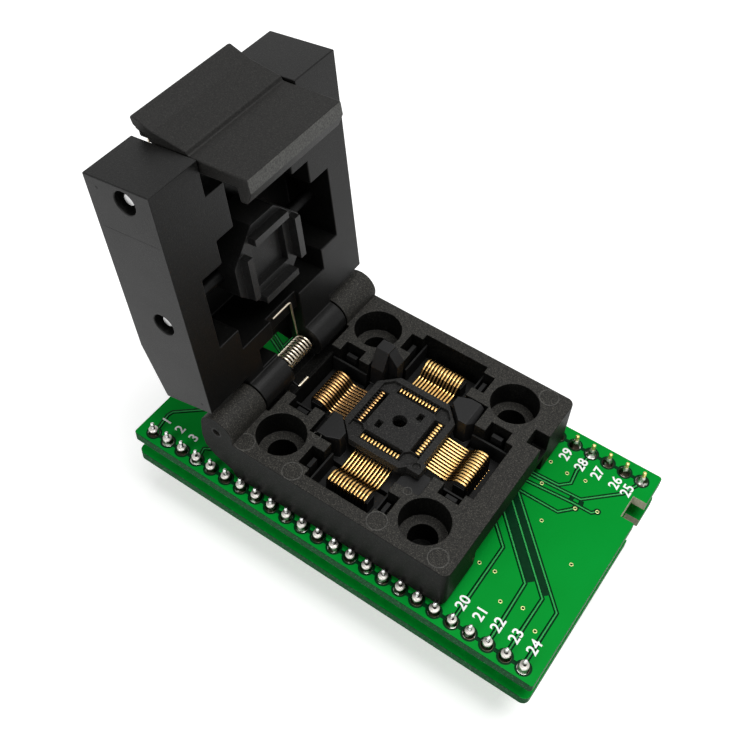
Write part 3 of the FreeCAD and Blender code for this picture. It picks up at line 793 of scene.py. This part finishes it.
# %% [markdown]
# ## Link pins and their solder
# Round wires join the two boards. Solder has run up each wire and set in a hollow
# curve that is wide at the pad and thin at the top. Such a shape is a turned one, so
# half of its outline is drawn and spun round the wire.

# %% A turned shape
def spun(name, outline, sides=20):
    # The outline is radius and height pairs in mm, from the axis and back to it.
    mesh = bpy.data.meshes.new(name)
    points = [Vector((r, 0, z)) * MM for r, z in outline]
    mesh.from_pydata(points, [(i, i + 1) for i in range(len(points) - 1)], [])
    piece = bpy.data.objects.new(name, mesh)
    bpy.context.scene.collection.objects.link(piece)
    edit(piece, "VERT")
    bpy.ops.mesh.select_all(action="SELECT")
    bpy.ops.mesh.spin(steps=sides, angle=2 * math.pi, center=(0, 0, 0), axis=(0, 0, 1))
    bpy.ops.mesh.select_all(action="SELECT")
    bpy.ops.mesh.remove_doubles(threshold=0.001 * MM)
    bpy.ops.mesh.normals_make_consistent(inside=False)
    done()
    smooth(piece, 60)
    return piece


# %% [markdown]
# The front block leaves the ends of eight contact tails in sight, under the arches.
# They are small turned studs.

# %% Tail ends of the front contacts
TAIL_END = [(0, 0), (0.12, 0), (0.12, 0.05), (0.08, 0.11), (0, 0.13)]
TAIL_X, TAIL_Z = 12.46, 3.79
TAIL_FIRST_Y = -0.75
places = [moved(spot(TAIL_X, TAIL_FIRST_Y + CONTACT_PITCH * i, TAIL_Z)) for i in range(8)]
ends = repeat(spun("tail_end", TAIL_END, 12), "tail_ends", places)
wear(ends, CONTACT_GOLD)
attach(ends, "root")
print("tail ends:", len(places))

# %% Outlines of wire and solder
PITCH = 2.54
PINS = 24
ROWS = {"near": -16.56, "far": 15.84}
PIN_SHIFT = 0.12
LOWER_UNDER = -6.0


def pin_x(i):
    return (i - (PINS - 1) / 2) * PITCH + PIN_SHIFT


# On the near row the solder has climbed all over the wire, and the wire's end is bare.
fat = [(0, 0), (0.80, 0), (0.80, 0.05), (0.73, 0.12), (0.69, 0.50), (0.67, 0.92), (0.63, 1.03),
       (0.56, 1.08), (0.30, 1.11), (0.26, 1.16), (0.25, 1.72), (0.27, 1.80), (0.27, 2.02),
       (0.18, 2.15), (0, 2.18)]
slim = [(0, 0), (0.80, 0), (0.82, 0.06), (0.76, 0.12), (0.61, 0.32), (0.50, 0.60), (0.42, 0.90),
        (0.34, 1.15), (0.27, 1.30), (0, 1.32)]
wire = [(0, LOWER_UNDER - 0.5), (0.18, LOWER_UNDER - 0.5), (0.25, LOWER_UNDER - 0.42),
        (0.25, 2.08), (0.19, 2.16), (0, 2.17)]
UNDER_SCALE = 0.55
under = [(r, -z * UNDER_SCALE) for r, z in slim[:9]] + [(0, -slim[8][1] * UNDER_SCALE)]
print("first and last pin at", pin_x(0), pin_x(PINS - 1))

# %% [markdown]
# No two solder joints are alike. Each fillet is turned and scaled a little by random
# amounts, which come from a fixed seed so that every run gives the same board.

# %% Pins and fillets in rows
WIDE, TALL = (0.93, 1.04), (0.90, 1.0)
DULL_FROM = 0.97
SHADED = (1.13, 1.76)


def near_solder(face):
    # Bright below, dull on the shoulder, and near-black steel as painted shade where the wire
    # leaves the solder.
    height = face_place(face).z
    return 2 if SHADED[0] < height < SHADED[1] else 1 if height > DULL_FROM else 0


chance = random.Random(7)
for side, y in ROWS.items():
    places = [moved(spot(pin_x(i), y, 0)) for i in range(PINS)]
    pins = repeat(spun("wire", wire, 12), "link_wires_" + side, places)
    wear(pins, PIN_BRASS if side == "far" else SHAFT_STEEL)
    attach(pins, "root")
    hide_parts("link_pins_" + side)
    settled = []
    for place in places:
        turn = Matrix.Rotation(chance.uniform(0, 6.28), 4, "Z")
        sizes = [chance.uniform(*span) for span in (WIDE, WIDE, TALL)]
        settled.append(place @ turn @ Matrix.Diagonal((*sizes, 1)))
    fillet = spun("fillet", fat if side == "near" else slim)
    fillets = repeat(fillet, "fillets_" + side, settled)
    wear(fillets, SOLDER, DULL_SOLDER, SHADE_STEEL)
    if side == "near":
        by_face(fillets, near_solder)
    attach(fillets, "root")
    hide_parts("link_solder_" + side)
    lower = [moved(spot(pin_x(i), y, LOWER_UNDER)) for i in range(PINS)]
    backs = repeat(spun("fillet_under", under), "fillets_under_" + side, lower)
    wear(backs, SOLDER)
    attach(backs, "root")
    print(side, "row:", len(places), "pins with solder above and below")

# %% [markdown]
# ## Etched outlines, traces and vias
# Round each pad, and on both sides of each trace, the copper is etched away, and the
# mask looks dark there. The dark gap is a flattened round ribbon along the trace's
# path, and a narrower bright ribbon lies on it. A texture could paint these lines,
# but ribbons stay sharp at any distance and have the real foil's small height.

# %% Ribbons along a path
def ribbon(name, path, width, height, material):
    curve = bpy.data.curves.new(name, "CURVE")
    curve.dimensions = "3D"
    curve.bevel_depth = width / 2 * MM
    curve.bevel_resolution = 1
    curve.use_fill_caps = True
    line = curve.splines.new("POLY")
    line.points.add(len(path) - 1)
    for point, (x, y) in zip(line.points, path):
        point.co = (x * MM, y * MM, 0, 1)
    piece = bpy.data.objects.new(name, curve)
    bpy.context.scene.collection.objects.link(piece)
    choose(piece)
    bpy.ops.object.convert(target="MESH")
    piece = bpy.context.object
    flat = Matrix.Diagonal((1, 1, height / (width / 2), 1))
    piece.data.transform(moved(spot(0, 0, 0)) @ flat)
    wear(piece, material)
    return piece


def joined(name, pieces, body="root"):
    choose(*pieces)
    bpy.ops.object.join()
    piece = bpy.context.object
    piece.name = name
    piece.data.name = name
    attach(piece, body)
    return piece


# %% The traces
TRACE_WIDE, TRACE_HIGH = 0.27, 0.026
GAP_WIDE, GAP_HIGH = 0.66, 0.014
BAND_HIGH = 0.012
ROW_BAND = 0.55
TRACES = [
    [(-29.1, -15.9), (-29.55, -13.2), (-29.33, -12.4), (-26.47, -9.89), (-22.0, -6.0)],
    [(-21.46, -16.2), (-21.88, -14.6), (-21.05, -14.09), (-18.5, -12.0)],
    [(-29.09, 14.8), (-29.2, 7.6), (-28.0, 6.95), (-24.29, 5.18), (-20.0, 3.10)],
    [(-26.55, 14.8), (-26.9, 7.35), (-24.17, 5.98), (-20.0, 3.90)],
    [(-24.01, 14.8), (-24.15, 8.50), (-24.17, 5.98)],
    [(29.17, -15.6), (29.17, -12.3), (29.19, -7.96), (17.92, 3.22), (15.5, 5.6)],
    [(26.77, -15.6), (26.77, -12.33), (26.8, -7.3), (17.41, 2.09), (15.5, 4.0)],
    [(24.2, -15.6), (24.16, -12.49), (23.99, -6.71), (16.95, 0.36), (15.5, 1.8)],
    [(19.16, -15.6), (19.14, -11.96), (19.11, -3.86), (16.75, -1.56), (15.5, -0.3)],
    [(21.55, 14.8), (21.35, 12.21), (21.66, 9.97), (20.43, 8.71), (17.3, 8.52), (15.5, 8.5)],
    [(29.1, 14.9), (28.12, 12.58), (23.92, 8.45), (17.42, 8.04), (15.5, 8.0)],
    [(26.62, 8.03), (26.02, 7.42), (23.19, 7.37), (16.77, 6.82), (15.5, 6.75)],
    [(23.97, 6.77), (22.33, 4.95), (16.96, 4.91), (15.5, 4.9)],
]
# A band's third figure is its width. It fills the space between two traces.
BANDS = [((24.50, -6.10), (15.2, 3.2), 1.70), ((27.02, -6.62), (15.2, 5.2), 1.35),
         ((22.84, 7.45), (22.84, 8.35), 0.60), ((24.35, 7.50), (24.15, 8.30), 0.70)]
for y in ROWS.values():
    BANDS.append(((pin_x(0), y), (pin_x(PINS - 1), y), ROW_BAND))
gaps = [ribbon("gap", path, GAP_WIDE, GAP_HIGH, BOARD_ETCHED) for path in TRACES]
for start, end, wide in BANDS:
    gaps.append(ribbon("band", [start, end], wide, BAND_HIGH, BOARD_ETCHED))
lines = [ribbon("trace", path, TRACE_WIDE, TRACE_HIGH, BOARD_TRACE) for path in TRACES]
joined("etched_gaps", gaps)
joined("copper_traces", lines)
print("dark gaps:", len(gaps), "traces:", len(lines))

# %% [markdown]
# Vias are the plated holes that carry a trace through the board. From above each is
# a small brass ring round a dark hole. All of these rings, and the pads' own, come
# from one turned shape.

# %% Rings
LIP = 0.03


def ring(name, inner, outer, height, sides=24):
    outline = [(inner, 0), (outer, 0), (outer, height * 0.6), (outer - LIP, height),
               (inner + LIP, height), (inner, height * 0.6), (inner, 0)]
    return spun(name, outline, sides)


def set_rings(model, name, places, material):
    rings = repeat(model, name, places)
    wear(rings, material)
    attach(rings, "root")
    print(name, "at", len(places), "places")


# %% Pad outlines and vias
VIAS = [(17.75, 11.41), (20.46, 11.07), (23.07, 11.44), (18.43, 7.64), (23.97, 6.77),
        (26.62, 8.03), (21.23, 2.55), (27.48, -0.91), (17.74, -7.55), (19.99, -7.47),
        (22.67, -10.66), (25.42, -9.8), (28.15, -11.63)]
TRACE_VIAS = VIAS[4:6]    # the two that end a trace
WELL = [(0, 0), (0.17, 0), (0.17, 0.008), (0, 0.009)]
pads = [moved(spot(pin_x(i), y, 0)) for y in ROWS.values() for i in range(PINS)]
holes = [moved(spot(x, y, 0)) for x, y in VIAS]
trace_ends = [moved(spot(x, y, 0)) for x, y in TRACE_VIAS]
set_rings(ring("outline", 0.70, 1.10, 0.018), "pad_outlines", pads, BOARD_ETCHED)
set_rings(ring("rim", 0.60, 0.84, 0.03), "pad_rims", pads, SOLDER)
set_rings(ring("via", 0.16, 0.28, 0.03, 16), "via_rings", holes, VIA_RING)
set_rings(ring("hollow", 0.26, 0.50, 0.018), "via_hollows", trace_ends, BOARD_ETCHED)
set_rings(spun("well", WELL, 12), "via_wells", holes, BOARD_ETCHED)

# %% [markdown]
# ## Pin numbers
# The pin numbers are screen printed in white ink, so they stand a hair above the
# mask. Text is set on its own, turned into a mesh, and only then moved into place.

# %% Printed numbers
INK_SIZE = 2.0
INK_BOLD = 0.035          # mm that the strokes swell by
INK_HIGH = 0.012
INK_LIFT = 0.014
NUMBERS = {
    "1": (-28.9, -14.05), "2": (-26.5, -14.05), "3": (-24.1, -14.05),
    "20": (19.02, -13.51), "21": (21.56, -13.51), "22": (24.10, -13.51),
    "23": (26.64, -13.51), "24": (29.18, -13.51), "25": (28.44, 13.37),
    "26": (26.59, 13.53), "27": (23.91, 13.48), "28": (21.45, 13.43), "29": (18.92, 13.73),
}
printed = []
for number, (x, y) in NUMBERS.items():
    choose()
    bpy.ops.object.text_add()
    words = bpy.context.object
    words.data.body = number
    words.data.size = INK_SIZE * MM
    words.data.align_x = "CENTER"
    words.data.align_y = "CENTER"
    words.data.offset = INK_BOLD * MM
    words.data.extrude = INK_HIGH * MM
    words.data.resolution_u = 3
    choose(words)
    bpy.ops.object.convert(target="MESH")
    words = bpy.context.object
    quarter = Matrix.Rotation(math.pi / 2, 4, "Z")
    words.data.transform(moved(spot(x, y, INK_LIFT)) @ quarter)
    wear(words, WHITE_INK)
    printed.append(words)
joined("pin_numbers", printed)
print("printed:", ", ".join(NUMBERS))

# %% [markdown]
# ## Springs
# The lid's torsion spring is wound round the hinge shaft. One leg lies on the base
# and the other reaches up into the lid. A Screw modifier can wind a coil, but the
# legs have to leave it smoothly, so here a curve follows the path of the wire, and a
# round bevel gives it the wire's thickness. The upper leg goes round with the lid, so
# it is a second curve that starts on the coil's last turn.

# %% Wire along a path
def wire_piece(name, points, radius, material, round_steps=3):
    curve = bpy.data.curves.new(name, "CURVE")
    curve.dimensions = "3D"
    curve.bevel_depth = radius * MM
    curve.bevel_resolution = round_steps
    curve.resolution_u = 3
    curve.use_fill_caps = True
    line = curve.splines.new("NURBS")
    line.points.add(len(points) - 1)
    for point, place in zip(line.points, points):
        point.co = (*place, 1)
    line.order_u = 3
    line.use_endpoint_u = True
    piece = bpy.data.objects.new(name, curve)
    bpy.context.scene.collection.objects.link(piece)
    choose(piece)
    bpy.ops.object.convert(target="MESH")
    piece = bpy.context.object
    smooth(piece, 60)
    wear(piece, material)
    return piece


# %% The torsion spring's path
COIL = 1.22
COIL_WIRE = 0.165
COIL_Y = (-2.8, 2.8)
COIL_TURNS = 11
COIL_STEPS = 16
LEG_REACH = 8.6
LEG_Y = (-2.3, 1.3)
TOE = (-14.375, -0.85, 7.25)
TOE_TURN = 0.5            # mm over which the toe bends into the lower leg
KNEE_TURN = 0.8
toe_x, toe_z = TOE[0] - HINGE[0], TOE[2] - HINGE[1]
start = math.atan2(toe_z, toe_x) - math.acos(COIL / math.hypot(toe_x, toe_z))
finish = LID_OPEN + math.acos(COIL / LEG_REACH) - 2 * math.pi * COIL_TURNS
steps = round((start - finish) / (2 * math.pi) * COIL_STEPS)
coil_line = [
    spot(*TOE),
    spot(TOE[0], COIL_Y[0] + TOE_TURN, TOE[2]),
    spot(TOE[0], COIL_Y[0], TOE[2]),
    spot(TOE[0] - TOE_TURN, COIL_Y[0], TOE[2] + 0.1),
]
# A curve runs inside its control points, so they stand a little further out.
spread = COIL / math.cos(math.pi / COIL_STEPS) ** 0.5
for i in range(steps + 1):
    turn = start + (finish - start) * i / steps
    x, z = HINGE[0] + spread * math.cos(turn), HINGE[1] + spread * math.sin(turn)
    coil_line.append(spot(x, COIL_Y[0] + (COIL_Y[1] - COIL_Y[0]) * i / steps, z))
knee = lid_spot(LEG_REACH, LEG_Y[1], 0)
leg_line = coil_line[-3:] + [knee.lerp(coil_line[-1], 0.12), knee]
leg_line += [knee + Vector((0, -KNEE_TURN, 0)) * MM, lid_spot(LEG_REACH, LEG_Y[0], 0)]
print("coil turns:", round((start - finish) / (2 * math.pi), 2))

# %% The torsion spring
SHADE_DROP = 0.1


def in_shade(face):
    # The lower leg lies in the dark under the contact block, so it gets the near-black steel as
    # painted shade.
    place = face_place(face)
    return place.x < TOE[0] - SHADE_DROP and place.z < HINGE[1] - COIL - SHADE_DROP


coil = wire_piece("torsion_coil", coil_line, COIL_WIRE, SPRING_STEEL)
coil.data.materials.append(SHADE_STEEL)
by_face(coil, in_shade)
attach(coil, "root")
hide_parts("lid_spring")
leg = wire_piece("torsion_leg", leg_line, COIL_WIRE, SPRING_STEEL)
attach(leg, "lid")
print("faces of coil and leg:", len(coil.data.polygons), len(leg.data.polygons))

# %% [markdown]
# Two small springs push the latch home. They stand in the lid, and the latch presses them
# shorter when it swings out.

# %% Return springs of the latch
RETURN_SEAT = 31.8
RETURN_END = 37.1
RETURN_W = 7.54
RETURN_Y = 7.0
RETURN_COIL = 0.65
RETURN_WIRE = 0.15
TURNS, STEPS = 6, 12
returns = []
for y in (-RETURN_Y, RETURN_Y):
    points = []
    for i in range(TURNS * STEPS + 1):
        turn = 2 * math.pi * i / STEPS
        s = RETURN_SEAT + (RETURN_END - RETURN_SEAT) * i / (TURNS * STEPS)
        across, up = RETURN_COIL * math.cos(turn), RETURN_COIL * math.sin(turn)
        points.append(lid_spot(s, y + across, RETURN_W + up))
    returns.append(wire_piece("return_coil", points, RETURN_WIRE, SPRING_STEEL, 2))
small_coils = joined("return_coils", returns, "lid")
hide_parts("latch_springs")
seat = lid_spot(RETURN_SEAT, 0, RETURN_W)
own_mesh(small_coils)
print("return springs:", len(returns), "of", TURNS, "turns")

# %% [markdown]
# ## Marks of the mould
# Ejector pins push a moulding out of its mould, and each leaves a faint round mark.
# The lid's side also shows the line where the two halves of its mould met. They are thin rings
# in a paler nylon and a hairline ridge in black nylon.

# %% Ejector marks
EJECTORS = [(-14.0, -14.7), (-6.45, -14.7), (6.2, -14.4), (15.0, -14.3), (14.2, 14.55)]
SMALL_EJECTORS = [(-7.17, -8.53), (6.9, -8.68)]
BASE_TOP = 8.44


def marks(name, inner, outer, places):
    on_base = [moved(spot(x, y, BASE_TOP)) for x, y in places]
    set_rings(ring("mark", inner, outer, 0.03), name, on_base, MARK_PLASTIC)


marks("ejector_marks", 1.22, 1.38, EJECTORS)
marks("small_ejector_marks", 0.50, 0.60, SMALL_EJECTORS)

# %% [markdown]
# The parting line crosses the lid's side, and a small pit lies near each of its ends.
# Both are made flat at the origin and then laid on the side of the open lid.

# %% Parting line
LID_SIDE = 16.1
LINE_S = 30.5
LINE = (0.05, 0.02, 8.6)  # how wide, high and long it is
PITS = ((36.0, 7.6), (4.9, 1.0))
PIT = [(0, 0), (0.22, 0), (0.22, 0.012), (0.16, 0.02), (0, 0.02)]
facing = Matrix.Rotation(math.pi / 2, 4, "X")
side_marks = [block("parting", (0, 0, 0), Vector(LINE) * MM)]
side_marks[0].data.transform(moved((-LINE[0] / 2 * MM, -LINE[1] / 2 * MM, 0)))
for s, w in PITS:
    pit = spun("pit", PIT, 12)
    pit.data.transform(moved(((s - LINE_S) * MM, 0, w * MM)) @ facing)
    side_marks.append(pit)
for mark in side_marks:
    mark.data.transform(moved(lid_spot(LINE_S, 0.003 - LID_SIDE, 0.1)) @ lid_turn)
    wear(mark, BLOCK_PLASTIC)
joined("lid_side_marks", side_marks, "lid")
print("marks on the lid's side:", len(side_marks))

# %% [markdown]
# ## Two small things at the hinge
# A thin web fills a corner of the lid's gap behind the spring. It is a block with one side
# drawn in, so that its open edge runs aslant. And the bore of the hinge looks like a dark ring
# on each side of the base, so each mouth gets a black ring of painted shade.

# %% Web beside the spring
WEB_LOW, WEB_HIGH = (-1.3, 1.0, 3.0), (2.0, 4.0, 3.4)
WEB_POINT = 2.95
web = block("lid_web", Vector(WEB_LOW) * MM, Vector(WEB_HIGH) * MM)
for vertex in web.data.vertices:
    if vertex.co.x < 0:
        vertex.co.y = max(vertex.co.y, WEB_POINT * MM)
web.data.transform(moved(spot(HINGE[0], 0, HINGE[1])) @ lid_turn)
wear(web, LID_PLASTIC)
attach(web, "lid")
print("web (mm):", [round(v / MM, 1) for v in web.dimensions])

# %% Painted shade in the mouths of the hinge bore
BASE_SIDE = 16.05
mouth_shades = []
for side in (-1, 1):
    mouth_shade = ring("mouth_shade", 0.60, 0.80, 0.012)
    mouth_shade.data.transform(Matrix.Rotation(side * -math.pi / 2, 4, "X"))
    mouth_shade.data.transform(moved(spot(HINGE[0], side * BASE_SIDE, HINGE[1])))
    wear(mouth_shade, BLOCK_PLASTIC)
    mouth_shades.append(mouth_shade)
joined("bore_mouth_shades", mouth_shades)
print("bore mouths:", len(mouth_shades))

# %% [markdown]
# ## Floor, light and camera
# The picture was taken on white with large soft lamps, brighter from the near side.
# The floor takes the object's shadow. The camera and the reflections see the world
# as white, but as a light on the object it is much dimmer.

# %% Floor
FLOOR_GLOW = 0.42
WHITE = (1, 1, 1, 1)


def rays(tree, *kinds):
    # 1 for a ray of any of these kinds, and 0 for all others.
    outputs = tree.nodes.new("ShaderNodeLightPath").outputs
    seen = Shade(tree, outputs[kinds[0]])
    for kind in kinds[1:]:
        seen = seen.maths("MAXIMUM", seen, Shade(tree, outputs[kind]))
    return seen


choose()
bpy.ops.mesh.primitive_plane_add(size=1.6, location=(0, 0, 0))
floor = bpy.context.object
floor.name = "studio_floor"
floor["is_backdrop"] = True
paper = bpy.data.materials.new("paper")
paper.use_nodes = True
paper.node_tree.nodes.clear()
sheet = Shade(paper.node_tree)
seen = rays(sheet.tree, "Is Camera Ray", "Is Glossy Ray")
glow = sheet.node("ShaderNodeEmission", None, {"Color": WHITE, "Strength": seen * FLOOR_GLOW})
matt = sheet.node("ShaderNodeBsdfDiffuse", None, {"Color": (0.86, 0.86, 0.86, 1)})
both = sheet.node("ShaderNodeAddShader", None, {0: glow, 1: matt})
sheet.node("ShaderNodeOutputMaterial", None, {"Surface": both})
wear(floor, paper)
print("floor (m):", tuple(floor.dimensions))

# %% World
AMBIENT = 0.22
world = bpy.data.worlds.new("studio")
bpy.context.scene.world = world
world.use_nodes = True
world.node_tree.nodes.clear()
sky = Shade(world.node_tree)
shown = rays(sky.tree, "Is Camera Ray", "Is Glossy Ray", "Is Transmission Ray")
level = shown * (1 - AMBIENT) + AMBIENT
backdrop = sky.node("ShaderNodeBackground", None, {"Color": WHITE, "Strength": level})
sky.node("ShaderNodeOutputWorld", None, {"Surface": backdrop})
print("world nodes:", len(world.node_tree.nodes))

# %% Lamps
AIM = (0, 0, 0.03)


def lamp(name, place, size, power):
    light = bpy.data.lights.new(name, "AREA")
    light.shape = "DISK"
    light.size = size
    light.energy = power
    stand = bpy.data.objects.new(name, light)
    stand.location = place
    towards = Vector(AIM) - Vector(place)
    stand.rotation_euler = towards.to_track_quat("-Z", "Y").to_euler()
    bpy.context.scene.collection.objects.link(stand)
    print("lamp:", name, power, "W")


lamp("window_near", (-0.10, -0.55, 0.32), 0.35, 1.6)
lamp("window_above", (0.12, 0.05, 0.60), 0.40, 3.0)

# %% [markdown]
# The camera stands where the photograph's camera stood. Its place, its turn and its
# lens were fitted to the pins' tips and the socket's corners. Standard colours keep
# the picture's tones as they are, with no film look over them.

# %% Camera
lens = bpy.data.cameras.new("catalogue")
lens.lens = 51.01795
lens.sensor_width = 36
lens.clip_start = 0.01
viewer = bpy.data.objects.new("catalogue", lens)
viewer.location = Vector((40.164773, -70.908848, 135.337072)) * MM
viewer.rotation_euler = [math.radians(a) for a in (38.148847, -1.978215, 34.557551)]
bpy.context.scene.collection.objects.link(viewer)
bpy.context.scene.camera = viewer
bpy.context.scene.view_settings.view_transform = "Standard"
print("camera (mm):", [round(v / MM, 1) for v in viewer.location])

# %% [markdown]
# ## The whole again
# Dressing a part may not change its size much, so its box is kept beside the CAD model's.

# %% Sizes of the CAD and the dressed model
dressed_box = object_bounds()
sizes = {"cad": [list(v) for v in cad_box], "visual": [list(v) for v in dressed_box]}
grown = [[round((b - a) / MM, 3) for a, b in zip(u, v)] for u, v in zip(cad_box, dressed_box)]
print("box grows by (mm):", grown)
